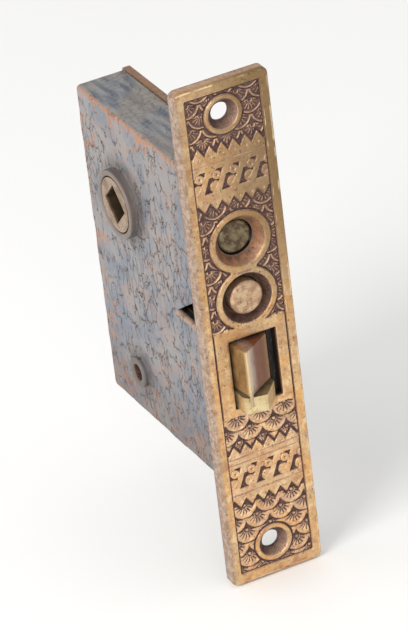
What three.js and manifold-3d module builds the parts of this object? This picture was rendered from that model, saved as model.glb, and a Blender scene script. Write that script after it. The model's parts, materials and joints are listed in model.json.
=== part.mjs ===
// Antique mortise latch lock with stop buttons: a decorated face plate on a shallow cast case.
// Millimetres. +X points out of the face plate, +Y towards the cover, +Z up.
// The origin is the centre of the face plate's front face.
import * as THREE from "three";
import { mergeVertices, toCreasedNormals } from "three/addons/utils/BufferGeometryUtils.js";
import Module from "manifold-3d";

const wasm = await Module();
wasm.setup();

// ---- Driving dimensions ----------------------------------------------------------------

const GAP = 0.3; // between pieces that touch on the real lock
const ROUND_STEPS = 32;
const SMALL_STEPS = 20;
const CREASE = 0.6; // facets meeting at more than this angle, in radians, show an edge

const PLATE = { height: 139.7, width: 25.8, thick: 3.2, corner: 1.8 };
const BORDER = 2.6;
const RELIEF = 0.6; // depth of the ornamented field below the border
const SCREW_HOLE = { z: 60.9, y: -0.1, ring: 5.2, rim: 4.2, bore: 2.45, coneDepth: 2.1 };
const PANEL = { bottom: -22, top: 2.5, halfWidth: 9.9 };
const WINDOW = { y0: -6.05, y1: 7.3, z0: -20.05, z1: -0.65 };

const CASE = { front: -3.5, back: -72, bottom: -45, top: 43.6, left: -7.7, rim: 5.7 };
const FLOOR = 1.9; // thickness of the case's left wall
const WALL = 2.4; // thickness of the case's four edge walls
const PAD = { back: -26, bottom: -33.5, top: -2, height: 0.5 };
const NOTCH = { apexX: -25.1, z: -1.75, rise: 0.634 };
const COVER = { thick: 1.8, proud: 0.5 };
const FLOOR_Y = CASE.left + FLOOR;
const COVER_Y = CASE.rim + GAP;

const HUB = { x: -50.6, z: 18.3, boss: 9.3, bossHeight: 2.5, journal: 7.4, disc: 8.2 };
const HUB_MIDDLE_GAP = 0.15; // half the gap between the two hubs
const SPINDLE = 8; // side of the square hole
const HUB_ARM = { halfWidth: 2.5, length: 18.3 };
const HUB_LUG = { back: -1.5, front: 4.2, length: 12.5 };
const HUB_TOOTH = { halfWidth: 2, reach: 11 };
const HUB_CLEARANCE = 0.25; // round each journal in its bearing
const COVER_POST = { x: -53, z: -32.4, radius: 4.2, hole: 2.3, bossHeight: 1.25 };

const BUTTON = { y: 0.5, radius: 4.5, head: 8, bowl: 6.9, ring: 8.4, travel: 3 };
const BUTTON_Z = { upper: 25.7, lower: 9.85 };
const BUTTON_PROUD = -0.3; // front of a button that is out
const SHANK = { halfWidth: 1.5, length: 18.4, thin: 1, thick: 3 };
const ROCKER = { x: -17, tipRadius: 1.15, neck: 0.9, boss: 3.2, nose: 5.3, pin: 1.5, halfThick: 1.25 };
const ROCKER_Z = (BUTTON_Z.upper + BUTTON_Z.lower) / 2;
const ROCKER_ARM = (BUTTON_Z.upper - BUTTON_Z.lower) / 2;
const HALF_TILT = Math.asin(BUTTON.travel / 2 / ROCKER_ARM);
const STUD = { arm: 6.25, radius: 1.2 };
const SLIDE = { tip: -36.7, bottom: 10.5, top: 15.9, y0: -5.2, y1: -1.5, pinX: -28, pinZ: 13.4 };

const LATCH = { y0: -5.4, y1: 4.9, z0: -19.7, z1: -1.3, back: -24, front: -12 };
const CHEEK = { top: -15.15, reach: 5.4 };
const TONGUE = { pivotX: -8.5, pivotY: -3.8, barrel: 1.6, bottom: -13.9, ridgeX: 5.9, ridgeY: -4.1 };
const TAIL = { z0: -13, z1: -8, y0: -1.7, y1: 1.5, front: -18.6, back: -60.5, lugTop: 2.5 };
const SPRING_STOP = { x0: -47.5, x1: -45, top: 4.6, below: 4.6, above: 3.8 };
const HUB_SPRING_POST = { x0: -34.2, x1: -31.8, z0: 24.5, z1: 32.5 };
const LEAF = { x: -22.95, thick: 0.5, y0: 0, y1: 3.4 };
const LEAF_POST = { halfWidth: 2.6, top: 4.2, z0: 29.2, z1: 34 };
const RIVET = { x: -20.6, hole: 1.3, radius: 1 };
const FRONT_SCREW = { radius: 1.5, clearance: 1.8, head: 2.8, headHeight: 2, socket: -1.4 };
const FRONT_SCREW_Z = { upper: 37.5, lower: -38.5 };
const SLOT_HALF = 0.4; // half the width of a screwdriver slot

// ---- Materials ---------------------------------------------------------------------------

function metal(colour, roughness, metalness) {
  return new THREE.MeshStandardMaterial({ color: colour, roughness, metalness });
}

const bronze = metal(0xb1935f, 0.45, 0.8);
const wornBronze = metal(0xb08a66, 0.4, 0.8);
const castIron = metal(0x8d9199, 0.6, 0.6);
const brass = metal(0xd9c789, 0.35, 0.9);
const steel = metal(0x8f8d8a, 0.4, 0.9);
const springSteel = metal(0x6d6f75, 0.35, 0.9);

// ---- Outlines and solids -----------------------------------------------------------------

// Points [u, v] along an arc, in degrees, both ends included.
function arc(cu, cv, radius, start, end, steps) {
  const points = [];
  for (let i = 0; i <= steps; i += 1) {
    const angle = THREE.MathUtils.degToRad(start + ((end - start) * i) / steps);
    points.push([cu + radius * Math.cos(angle), cv + radius * Math.sin(angle)]);
  }
  return points;
}

function circle(cu, cv, radius, steps = ROUND_STEPS) {
  return arc(cu, cv, radius, 0, 360, steps).slice(0, -1);
}

function rectangle(u0, v0, u1, v1) {
  return [[u0, v0], [u1, v0], [u1, v1], [u0, v1]];
}

function roundedRectangle(u0, v0, u1, v1, radius, steps = 4) {
  return [
    ...arc(u1 - radius, v0 + radius, radius, -90, 0, steps),
    ...arc(u1 - radius, v1 - radius, radius, 0, 90, steps),
    ...arc(u0 + radius, v1 - radius, radius, 90, 180, steps),
    ...arc(u0 + radius, v0 + radius, radius, 180, 270, steps),
  ];
}

function solidFrom(geometry) {
  geometry.deleteAttribute("normal");
  geometry.deleteAttribute("uv");
  const merged = mergeVertices(geometry, 1e-4);
  return new wasm.Manifold(
    new wasm.Mesh({
      numProp: 3,
      vertProperties: merged.attributes.position.array,
      triVerts: new Uint32Array(merged.index.array),
    }),
  );
}

// An outline pushed along an axis. Its points are (y, z) for X, (x, z) for Y and (x, y) for Z.
function prism(outline, axis, from, to) {
  const shape = new THREE.Shape(outline.map(([u, v]) => new THREE.Vector2(u, v)));
  const geometry = new THREE.ExtrudeGeometry(shape, { depth: to - from, bevelEnabled: false });
  if (axis === "Y") {
    geometry.translate(0, 0, -to);
    geometry.rotateX(Math.PI / 2);
  } else {
    geometry.translate(0, 0, from);
  }
  if (axis === "X") {
    geometry.applyMatrix4(new THREE.Matrix4().set(0, 0, 1, 0, 1, 0, 0, 0, 0, 1, 0, 0, 0, 0, 0, 1));
  }
  return solidFrom(geometry);
}

function block(x0, x1, y0, y1, z0, z1) {
  const geometry = new THREE.BoxGeometry(x1 - x0, y1 - y0, z1 - z0);
  geometry.translate((x0 + x1) / 2, (y0 + y1) / 2, (z0 + z1) / 2);
  return solidFrom(geometry);
}

// A profile of [radius, height] points, turned about the Y axis, then laid along X if asked.
function turned(profile, axis, steps = ROUND_STEPS) {
  const points = profile.map(([radius, height]) => new THREE.Vector2(radius, height));
  const geometry = new THREE.LatheGeometry(points, steps);
  if (axis === "X") {
    geometry.rotateZ(-Math.PI / 2);
  }
  return solidFrom(geometry);
}

class HelixAlongX extends THREE.Curve {
  constructor(length, radius, turns) {
    super();
    Object.assign(this, { length, radius, turns });
  }

  getPoint(t, target = new THREE.Vector3()) {
    const angle = 2 * Math.PI * this.turns * t;
    return target.set(
      this.length * (t - 0.5),
      this.radius * Math.cos(angle),
      this.radius * Math.sin(angle),
    );
  }
}

// A compression spring centred on the origin, with its axis along X.
function coil(length, radius, wire, turns) {
  const section = circle(0, 0, wire / 2, 6).map(([u, v]) => new THREE.Vector2(u, v));
  const extrudePath = new HelixAlongX(length - wire, radius, turns);
  const options = { steps: Math.round(turns * 14), bevelEnabled: false, extrudePath };
  return solidFrom(new THREE.ExtrudeGeometry(new THREE.Shape(section), options));
}

function join(...solids) {
  return solids.reduce((whole, solid) => whole.add(solid));
}

function cut(body, ...tools) {
  return tools.reduce((rest, tool) => rest.subtract(tool), body);
}

// ---- Face plate --------------------------------------------------------------------------

// A raised strip across the field with a row of teeth on one side.
function toothedBand(flatZ, valleyZ, tipZ) {
  const half = PLATE.width / 2 - BORDER - GAP;
  const teeth = 6;
  const pitch = (2 * half) / teeth;
  const outline = [[half, flatZ], [-half, flatZ]];
  for (let i = 0; i < teeth; i += 1) {
    const start = -half + i * pitch;
    outline.push([start + 0.02, valleyZ], [start + pitch / 2, tipZ]);
  }
  outline.push([half, valleyZ]);
  return prism(outline, "X", -2, 1);
}

function raisedOrnament() {
  return join(
    prism(circle(SCREW_HOLE.y, SCREW_HOLE.z, SCREW_HOLE.ring), "X", -2, 1),
    prism(circle(SCREW_HOLE.y, -SCREW_HOLE.z, SCREW_HOLE.ring), "X", -2, 1),
    prism(circle(BUTTON.y, BUTTON_Z.upper, BUTTON.ring), "X", -2, 1),
    prism(circle(BUTTON.y, BUTTON_Z.lower, BUTTON.ring), "X", -2, 1),
    prism(rectangle(-PANEL.halfWidth, PANEL.bottom, PANEL.halfWidth, PANEL.top), "X", -2, 1),
    toothedBand(48.9, 51.7, 53.7),
    toothedBand(40.6, 38.2, 36.4),
    toothedBand(-35, -32.3, -30.3),
    toothedBand(-42.9, -45.7, -47.8),
  );
}

function screwHole(z) {
  const { rim, bore, coneDepth, y } = SCREW_HOLE;
  const through = -PLATE.thick - 1;
  const profile = [[0, through], [bore, through], [bore, -coneDepth], [rim, 0], [rim, 1], [0, 1]];
  return turned(profile, "X").translate(0, y, z);
}

function buttonBowl(z) {
  const throat = BUTTON.radius + GAP;
  const through = -PLATE.thick - 1;
  const rim = BUTTON.bowl;
  const profile = [[0, through], [throat, through], [throat, -PLATE.thick], [rim, 0], [rim, 1], [0, 1]];
  return turned(profile, "X").translate(0, BUTTON.y, z);
}

function facePlate() {
  const halfWidth = PLATE.width / 2;
  const halfHeight = PLATE.height / 2;
  const outline = roundedRectangle(-halfWidth, -halfHeight, halfWidth, halfHeight, PLATE.corner);
  const fieldOutline = rectangle(
    -halfWidth + BORDER,
    -halfHeight + BORDER,
    halfWidth - BORDER,
    halfHeight - BORDER,
  );
  const field = cut(prism(fieldOutline, "X", -RELIEF, 0.5), raisedOrnament());
  const { clearance, socket } = FRONT_SCREW;
  const screwSocket = (z) =>
    prism(circle(0, z, clearance, SMALL_STEPS), "X", -PLATE.thick - 1, socket);
  return cut(
    prism(outline, "X", -PLATE.thick, 0),
    field,
    screwHole(SCREW_HOLE.z),
    screwHole(-SCREW_HOLE.z),
    buttonBowl(BUTTON_Z.upper),
    buttonBowl(BUTTON_Z.lower),
    block(-5, 1, WINDOW.y0, WINDOW.y1, WINDOW.z0, WINDOW.z1),
    screwSocket(FRONT_SCREW_Z.upper),
    screwSocket(FRONT_SCREW_Z.lower),
  );
}

// A pan-headed screw driven from inside the case into the back of the face plate.
function frontScrew() {
  const { radius, head, headHeight, socket } = FRONT_SCREW;
  const headFront = CASE.front - WALL - GAP;
  const headBack = headFront - headHeight;
  return cut(
    join(
      prism(circle(0, 0, head, SMALL_STEPS), "X", headBack, headFront),
      prism(circle(0, 0, radius, SMALL_STEPS), "X", headFront - 0.5, socket - GAP),
    ),
    block(headBack - 1, headBack + 0.8, -4, 4, -SLOT_HALF, SLOT_HALF),
  );
}

// ---- Case --------------------------------------------------------------------------------

function caseShell() {
  const { front, back, bottom, top, left, rim } = CASE;
  const inner = roundedRectangle(back + WALL, bottom + WALL, front - WALL, top - WALL, 1.5);
  return join(
    cut(
      prism(roundedRectangle(back, bottom, front, top, 1.6), "Y", left, rim),
      prism(inner, "Y", FLOOR_Y, rim + 1),
    ),
    prism(rectangle(PAD.back, PAD.bottom, front, PAD.top), "Y", left - PAD.height, left + 0.5),
    prism(circle(HUB.x, HUB.z, HUB.boss), "Y", left - HUB.bossHeight, left + 0.5),
    prism(
      circle(COVER_POST.x, COVER_POST.z, COVER_POST.radius),
      "Y",
      left - COVER_POST.bossHeight,
      rim,
    ),
  );
}

// The walls and posts that stand on the case's floor to hold the springs and guide the tail.
function caseStandards() {
  const root = FLOOR_Y - 0.5;
  const { x0, x1, top, below, above } = SPRING_STOP;
  const { halfWidth, z0, z1 } = LEAF_POST;
  const leafSlot = LEAF.thick / 2 + GAP;
  return join(
    cut(
      block(x0, x1, root, top, TAIL.z0 - below, TAIL.z1 + above),
      block(x0 - 1, x1 + 1, TAIL.y0 - 0.5, top + 1, TAIL.z0 - 2 * GAP, TAIL.z1 + 2 * GAP),
    ),
    block(
      HUB_SPRING_POST.x0,
      HUB_SPRING_POST.x1,
      root,
      4,
      HUB_SPRING_POST.z0,
      HUB_SPRING_POST.z1,
    ),
    cut(
      block(LEAF.x - halfWidth, LEAF.x + halfWidth, root, LEAF_POST.top, z0, z1),
      block(LEAF.x - leafSlot, LEAF.x + leafSlot, LEAF.y0 - 0.5, 6, z0 - 1, z1 + 1),
    ),
  );
}

function caseBody() {
  const { front, left } = CASE;
  const notchRun = front + 0.1 - NOTCH.apexX;
  const notch = [
    [NOTCH.apexX, NOTCH.z],
    [front + 0.1, NOTCH.z],
    [front + 0.1, NOTCH.z + notchRun * NOTCH.rise],
  ];
  const buttonHole = (z) => prism(circle(BUTTON.y, z, BUTTON.radius + GAP), "X", -8, 0);
  const screwHoleAt = (z) => prism(circle(0, z, FRONT_SCREW.clearance, SMALL_STEPS), "X", -8, 0);
  return cut(
    join(caseShell(), caseStandards()),
    prism(circle(HUB.x, HUB.z, HUB.journal + HUB_CLEARANCE), "Y", left - 4, FLOOR_Y + 1),
    prism(circle(COVER_POST.x, COVER_POST.z, COVER_POST.hole, SMALL_STEPS), "Y", left - 4, 8),
    prism(notch, "Y", left - 1, FLOOR_Y + 0.1),
    block(-8, 0, FLOOR_Y, CASE.rim + 1, WINDOW.z0 - 0.1, WINDOW.z1 + 0.1),
    buttonHole(BUTTON_Z.upper),
    buttonHole(BUTTON_Z.lower),
    screwHoleAt(FRONT_SCREW_Z.upper),
    screwHoleAt(FRONT_SCREW_Z.lower),
  );
}

function caseCover() {
  const outside = COVER_Y + COVER.thick;
  const outline = roundedRectangle(
    CASE.back - COVER.proud,
    CASE.bottom - COVER.proud,
    CASE.front,
    CASE.top + COVER.proud,
    1.6,
  );
  const screwSeat = [[0, -2], [2.1, -2], [2.1, 0.4], [3.6, COVER.thick], [3.6, 3], [0, 3]];
  return cut(
    join(
      prism(outline, "Y", COVER_Y, outside),
      prism(circle(HUB.x, HUB.z, HUB.boss), "Y", outside - 0.5, outside + HUB.bossHeight),
    ),
    prism(circle(HUB.x, HUB.z, HUB.journal + HUB_CLEARANCE), "Y", COVER_Y - 1, outside + 4),
    turned(screwSeat, "Y", SMALL_STEPS).translate(COVER_POST.x, COVER_Y, COVER_POST.z),
  );
}

// A flat countersunk screw, modelled with its head's top at height 0.
function coverScrew() {
  const profile = [[0, -9.6], [1.75, -9.6], [1.75, -1.45], [3.3, -0.05], [0, -0.05]];
  return cut(turned(profile, "Y", SMALL_STEPS), block(-4, 4, -0.8, 1, -SLOT_HALF, SLOT_HALF));
}

// ---- Hubs --------------------------------------------------------------------------------

// One knob hub about its own axis, with its outer face at y = face. side is -1 for the left
// hub and 1 for the right one.
function hub(side, withTooth) {
  const inner = side * HUB_MIDDLE_GAP;
  const discFace = side < 0 ? FLOOR_Y + GAP : COVER_Y - GAP;
  const face = side < 0
    ? CASE.left - HUB.bossHeight + 0.1
    : COVER_Y + COVER.thick + HUB.bossHeight - 0.1;
  const between = (a, b) => [Math.min(a, b), Math.max(a, b)];
  const discSpan = between(inner, discFace);
  const arm = [
    ...arc(0, -HUB_ARM.length + HUB_ARM.halfWidth, HUB_ARM.halfWidth, 180, 360, 8),
    [HUB_ARM.halfWidth, 0],
    [-HUB_ARM.halfWidth, 0],
  ];
  const parts = [
    prism(circle(0, 0, HUB.disc), "Y", ...discSpan),
    prism(circle(0, 0, HUB.journal), "Y", ...between(discFace - side, face)),
    prism(arm, "Y", ...discSpan),
    prism(rectangle(HUB_LUG.back, 0, HUB_LUG.front, HUB_LUG.length), "Y", ...discSpan),
  ];
  if (withTooth) {
    const { halfWidth, reach } = HUB_TOOTH;
    parts.push(prism(rectangle(0, -halfWidth, reach, halfWidth), "Y", ...discSpan));
  }
  const reach = SPINDLE / Math.SQRT2;
  const diamond = [[reach, 0], [0, reach], [-reach, 0], [0, -reach]];
  return cut(join(...parts), prism(diamond, "Y", -12, 12));
}

// ---- Latch bolt --------------------------------------------------------------------------

function cheekOutline() {
  const { y0, y1, front } = LATCH;
  return [
    [front - 0.5, y0],
    [0.4, y0],
    ...arc(2.4, -2.9, 2.5, 260, 320, 4),
    [CHEEK.reach, 0.4],
    [0.3, y1],
    [front - 0.5, y1],
  ];
}

function rivetHole() {
  const middle = (TAIL.z0 + TAIL.z1) / 2;
  return prism(circle(RIVET.x, middle, RIVET.hole, SMALL_STEPS), "Y", -8, 8);
}

function latchHead() {
  const { y0, y1, z0, z1, back, front } = LATCH;
  const pinHole = circle(TONGUE.pivotX, TONGUE.pivotY, 1.4, SMALL_STEPS);
  return cut(
    join(
      block(back, front, y0, y1, z0, z1),
      prism(cheekOutline(), "Z", z0, CHEEK.top),
      block(front - 0.5, TONGUE.pivotX + 1.9, y0, -2.2, -3.8, z1),
    ),
    block(back - 1, TAIL.front + GAP, TAIL.y0 - GAP, TAIL.y1 + GAP, TAIL.z0 - GAP, TAIL.z1 + GAP),
    prism(pinHole, "Z", -22, 1),
    rivetHole(),
  );
}

// The pivoting wedge that meets the strike: flat on the left, bevelled on the right.
function latchTongue() {
  const { pivotX, pivotY, barrel, bottom, ridgeX, ridgeY } = TONGUE;
  const nose = [
    [0, LATCH.y0],
    [ridgeX - 0.15, ridgeY - 0.45],
    [ridgeX, ridgeY],
    [ridgeX - 0.5, ridgeY + 0.6],
    [3.6, -0.9],
    [1.7, 1.9],
    [0.2, 4.1],
    [-1, 4.5],
  ];
  const whole = [
    ...arc(pivotX, pivotY, barrel, 160, 270, 6),
    ...nose,
    [-7.6, 4.5],
    [-9.4, 0.5],
  ];
  const upper = [[-5.2, LATCH.y0], ...nose, [-5.2, 4.5]];
  const spur = [[5.65, ridgeY - 0.5], [ridgeX, ridgeY], [5.65, ridgeY + 0.5]];
  return cut(
    join(
      prism(whole, "Z", bottom, -4.1),
      prism(upper, "Z", -4.6, LATCH.z1 - 0.05),
      prism(spur, "Z", bottom - 3.1, bottom + 0.5),
    ),
    prism(circle(pivotX, pivotY, 1.35, SMALL_STEPS), "Z", -22, 1),
  );
}

function tonguePin() {
  return prism(circle(TONGUE.pivotX, TONGUE.pivotY, 1.05, SMALL_STEPS), "Z", -19.5, -1.5);
}

// A bowed strip between the latch head and the back of the tongue.
function tongueSpring() {
  const outline = [
    [-11.65, -1.4],
    [-10.2, 1.2],
    [-9.95, 1.6],
    [-10.2, 2],
    [-11.65, 4.4],
    [-11.3, 4.5],
    [-9.85, 2.1],
    [-9.6, 1.6],
    [-9.85, 1.1],
    [-11.3, -1.5],
  ];
  return prism(outline.reverse(), "Z", -11.5, -6.5);
}

// The tail bar with the yoke that the hub arms push back.
function latchTail() {
  const { z0, z1, y0, y1, front, back, lugTop } = TAIL;
  const lugFront = HUB.x - HUB_ARM.halfWidth - GAP;
  return cut(
    join(
      block(back, front, y0, y1, z0, z1),
      block(lugFront - 3.2, lugFront, -4.8, 4.8, z0, lugTop),
    ),
    rivetHole(),
  );
}

function tailRivet() {
  const middle = (TAIL.z0 + TAIL.z1) / 2;
  return prism(circle(RIVET.x, middle, RIVET.radius, SMALL_STEPS), "Y", -5.3, 4.8);
}

// ---- Stop works --------------------------------------------------------------------------

// A push button with its front face at x = 0. towards is the side, 1 up or -1 down, where the
// rocker's tip enters the notch in its shank.
function pushButton(towards) {
  const { radius, head } = BUTTON;
  const { halfWidth, length, thin, thick } = SHANK;
  const profile = [[0, -head], [radius, -head], [radius, -0.4], [radius - 0.5, 0], [0, 0]];
  const [low, high] = towards > 0 ? [-thick, thin] : [-thin, thick];
  const [notchLow, notchHigh] = towards > 0 ? [-1.45, 5] : [-5, 1.45];
  const tip = ROCKER.x + BUTTON.travel / 2 - BUTTON_PROUD;
  const clearance = ROCKER.tipRadius + 0.35;
  return cut(
    join(
      turned(profile, "X"),
      block(-length, -head + 1, -halfWidth, halfWidth, low, high),
    ),
    block(tip - clearance, tip + clearance, -5, 5, notchLow, notchHigh),
  );
}

// The rocker that lets only one button stay in, about its own pivot, standing upright.
function stopRocker() {
  const { tipRadius, neck, boss, nose, pin, halfThick } = ROCKER;
  const y0 = BUTTON.y - halfThick;
  const y1 = BUTTON.y + halfThick;
  const web = [
    [neck, -ROCKER_ARM],
    [2, 0],
    [neck, ROCKER_ARM],
    [-neck, ROCKER_ARM],
    [-2, 0],
    [-neck, -ROCKER_ARM],
  ];
  return cut(
    join(
      prism(web, "Y", y0, y1),
      prism(circle(0, ROCKER_ARM, tipRadius, SMALL_STEPS), "Y", y0, y1),
      prism(circle(0, -ROCKER_ARM, tipRadius, SMALL_STEPS), "Y", y0, y1),
      prism(circle(0, 0, boss), "Y", y0, y1),
      prism([[0, -2.6], [0, 2.6], [-nose, 0]], "Y", y0, y1),
      prism(circle(0, -STUD.arm, STUD.radius, SMALL_STEPS), "Y", SLIDE.y0 + 0.2, y0 + 0.5),
    ),
    prism(circle(0, 0, pin + GAP, SMALL_STEPS), "Y", -9, 9),
  );
}

function rockerPin() {
  return join(
    prism(circle(0, 0, ROCKER.pin, SMALL_STEPS), "Y", FLOOR_Y + GAP, COVER_Y - GAP),
    prism(circle(0, 0, 2.6, SMALL_STEPS), "Y", BUTTON.y + ROCKER.halfThick + 0.4, 4.2),
  );
}

// The sliding bar that the rocker pushes towards the left hub's tooth.
function stopSlide() {
  const { tip, bottom, top, y0, y1, pinX, pinZ } = SLIDE;
  const studX = ROCKER.x + STUD.arm * Math.sin(HALF_TILT);
  const studZ = ROCKER_Z - STUD.arm * Math.cos(HALF_TILT);
  const travel = STUD.arm * 2 * HALF_TILT;
  const slotHalf = STUD.radius + GAP;
  const outline = [
    [studX + 3, 8.6],
    [studX + 3, top],
    [tip, top],
    [tip, bottom + 2.1],
    [tip + 3.5, bottom + 2.1],
    [tip + 3.5, bottom],
    [studX - 4.5, bottom],
    [studX - 3, 8.6],
  ];
  return cut(
    prism(outline.reverse(), "Y", y0, y1),
    block(studX - slotHalf, studX + slotHalf, -8, 0, studZ - 1.7, studZ + 1.6),
    block(pinX - 1.5, pinX + travel + 1.5, -8, 0, pinZ - 1.5, pinZ + 1.5),
  );
}

function slideGuidePin() {
  return join(
    prism(circle(0, 0, 1.2, SMALL_STEPS), "Y", FLOOR_Y + GAP, SLIDE.y1 + 0.6),
    prism(circle(0, 0, 2.3, SMALL_STEPS), "Y", SLIDE.y1 + 0.4, SLIDE.y1 + 1.3),
  );
}

// The flat spring that holds the rocker on either side of its nose.
function detentSpring() {
  const { x, thick, y0, y1 } = LEAF;
  return block(x - thick / 2, x + thick / 2, y0, y1, 12.6, 33.6);
}

// ---- Assembly ----------------------------------------------------------------------------

function place(parent, name, solid, material) {
  const { vertProperties, triVerts } = solid.getMesh();
  const geometry = new THREE.BufferGeometry();
  geometry.setAttribute("position", new THREE.BufferAttribute(vertProperties, 3));
  geometry.setIndex(new THREE.BufferAttribute(triVerts, 1));
  const mesh = new THREE.Mesh(toCreasedNormals(geometry, CREASE), material);
  mesh.name = name;
  parent.add(mesh);
  return mesh;
}

function groupAt(parent, x, y, z) {
  const holder = new THREE.Group();
  holder.position.set(x, y, z);
  parent.add(holder);
  return holder;
}

const group = new THREE.Group();

place(group, "face_plate", facePlate(), bronze);
place(group, "case_body", caseBody(), castIron);
place(group, "case_cover", caseCover(), castIron);
place(group, "front_screw_upper", frontScrew(), steel).position.z = FRONT_SCREW_Z.upper;
place(group, "front_screw_lower", frontScrew(), steel).position.z = FRONT_SCREW_Z.lower;
const coverScrewSeat = groupAt(group, COVER_POST.x, COVER_Y + COVER.thick, COVER_POST.z);
place(coverScrewSeat, "cover_screw", coverScrew(), steel);

const hubAxis = groupAt(group, HUB.x, 0, HUB.z);
place(hubAxis, "hub_outside", hub(-1, true), brass);
place(hubAxis, "hub_inside", hub(1, false), brass);
const hubSpringBack = HUB.x + HUB_LUG.front + GAP;
const hubSpringFront = HUB_SPRING_POST.x0 - GAP;
const hubSpringLength = hubSpringFront - hubSpringBack;
const hubSpring = place(group, "hub_spring", coil(hubSpringLength, 2.6, 0.8, 7), springSteel);
hubSpring.position.set((hubSpringBack + hubSpringFront) / 2, 0, HUB.z + 10.3);

place(group, "latch_head", latchHead(), brass);
place(group, "latch_tongue", latchTongue(), wornBronze);
place(group, "tongue_pin", tonguePin(), steel);
place(group, "tongue_spring", tongueSpring(), springSteel);
place(group, "latch_tail", latchTail(), steel);
place(group, "tail_rivet", tailRivet(), steel);
const latchSpringBack = SPRING_STOP.x1 + GAP;
const latchSpringFront = LATCH.back - GAP;
const latchSpringLength = latchSpringFront - latchSpringBack;
const latchSpring = place(group, "latch_spring", coil(latchSpringLength, 4, 0.9, 8), springSteel);
latchSpring.position.set(
  (latchSpringBack + latchSpringFront) / 2,
  (TAIL.y0 + TAIL.y1) / 2,
  (TAIL.z0 + TAIL.z1) / 2,
);

const upperPlace = groupAt(group, BUTTON_PROUD - BUTTON.travel, BUTTON.y, BUTTON_Z.upper);
place(upperPlace, "button_upper", pushButton(-1), wornBronze);
const lowerPlace = groupAt(group, BUTTON_PROUD, BUTTON.y, BUTTON_Z.lower);
place(lowerPlace, "button_lower", pushButton(1), wornBronze);
const rockerAxis = groupAt(group, ROCKER.x, 0, ROCKER_Z);
place(rockerAxis, "stop_rocker", stopRocker(), brass).rotation.y = -HALF_TILT;
place(rockerAxis, "rocker_pin", rockerPin(), steel);
place(group, "stop_slide", stopSlide(), steel);
place(groupAt(group, SLIDE.pinX, 0, SLIDE.pinZ), "slide_guide_pin", slideGuidePin(), steel);
place(group, "detent_spring", detentSpring(), springSteel);

export default group;
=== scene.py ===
"""An antique mortise latch lock on a pale floor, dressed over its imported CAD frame.

Lengths below are in millimetres in the lock's own frame (+X out of the face plate, +Y towards
the cover, +Z up) and become metres where a mesh is made. The surroundings are in metres.
"""
import json
import math

import bmesh
import bpy
import numpy as np
from mathutils import Matrix, Vector
from mathutils.geometry import tessellate_polygon


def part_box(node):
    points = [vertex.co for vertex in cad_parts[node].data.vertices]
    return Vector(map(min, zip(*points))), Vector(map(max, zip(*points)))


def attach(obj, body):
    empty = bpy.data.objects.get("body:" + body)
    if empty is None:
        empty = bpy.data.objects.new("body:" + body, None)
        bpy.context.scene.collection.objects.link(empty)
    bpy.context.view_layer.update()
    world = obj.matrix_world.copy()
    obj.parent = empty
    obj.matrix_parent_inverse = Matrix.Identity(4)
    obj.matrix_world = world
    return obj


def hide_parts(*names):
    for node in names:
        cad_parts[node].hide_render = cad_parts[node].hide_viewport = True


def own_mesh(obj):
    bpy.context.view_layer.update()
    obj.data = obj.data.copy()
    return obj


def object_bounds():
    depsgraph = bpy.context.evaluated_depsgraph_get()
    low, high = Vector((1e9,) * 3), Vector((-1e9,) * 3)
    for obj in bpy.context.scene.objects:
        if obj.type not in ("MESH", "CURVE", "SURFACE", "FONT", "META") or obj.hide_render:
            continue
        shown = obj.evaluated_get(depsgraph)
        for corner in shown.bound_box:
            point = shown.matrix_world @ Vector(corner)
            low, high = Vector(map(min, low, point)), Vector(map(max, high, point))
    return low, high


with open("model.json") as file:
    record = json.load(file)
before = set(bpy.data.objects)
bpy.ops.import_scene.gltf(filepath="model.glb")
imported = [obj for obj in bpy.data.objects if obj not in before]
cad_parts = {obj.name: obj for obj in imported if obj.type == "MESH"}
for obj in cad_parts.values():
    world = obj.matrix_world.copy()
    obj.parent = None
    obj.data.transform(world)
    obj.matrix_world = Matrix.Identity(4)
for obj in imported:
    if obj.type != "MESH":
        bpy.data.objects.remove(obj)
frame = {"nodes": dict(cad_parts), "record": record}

MM = 0.001
CAD_LOW, CAD_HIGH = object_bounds()
SCENE = bpy.context.scene


def cad_box(node):
    """A node's lowest and highest corners in millimetres."""
    low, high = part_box(node)
    return np.array(low) / MM, np.array(high) / MM


# ---- Places taken from the CAD model ------------------------------------------------------

PLATE_LOW, PLATE_HIGH = cad_box("face_plate")
PLATE_BACK = PLATE_LOW[0]
CASE_LOW, CASE_HIGH = cad_box("case_body")
HUB_END = cad_box("hub_outside")[0][1]
COVER_INSIDE = cad_box("case_cover")[0][1]

FIELD = {"left": -10.15, "right": 10.5, "bottom": -67.0, "top": 67.2}
SCREWS = ((-0.1, 60.9), (-0.1, -60.9))
SCREW = {"ring": 5.2, "rim": 4.2, "bore": 2.45, "cone": -2.1}
CUPS = ((0.5, 25.7), (0.5, 9.85))
CUP = {"ring": 8.4, "rim": 6.9, "throat": 4.8, "middle_x": -1.6}
WAIST = {"y": 0.5, "z": 17.8, "half_width": 3.6, "half_height": 2.4}
WINDOW = {"left": -6.05, "right": 7.3, "bottom": -20.05, "top": -0.65}
PANEL = {"bottom": -22.0, "top": 2.6, "level": -0.06}
PLATE_CORNER, WINDOW_CORNER, CASE_CORNER = 1.8, 0.4, 1.6
TONGUE_RIDGE = (5.5, -4.0, -9.0)
HUB = {"x": -50.6, "z": 18.3, "boss": 9.3, "bore": 7.65, "rise": 2.5}
POST = {"x": -53.0, "z": -32.4, "boss": 4.2, "bore": 2.3, "rise": 1.25}
PAD = {"back": -26.0, "bottom": -33.5, "top": -2.0}
NOTCH = {"apex": -25.1, "z": -1.75, "rise": 0.634}
CASE_FACE = -7.7
CASE_SPLIT = -5.9  # the left side in front of this is a relief, the walls behind it are CAD
FLOOR_INSIDE = -5.8


# ---- Camera -------------------------------------------------------------------------------

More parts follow.
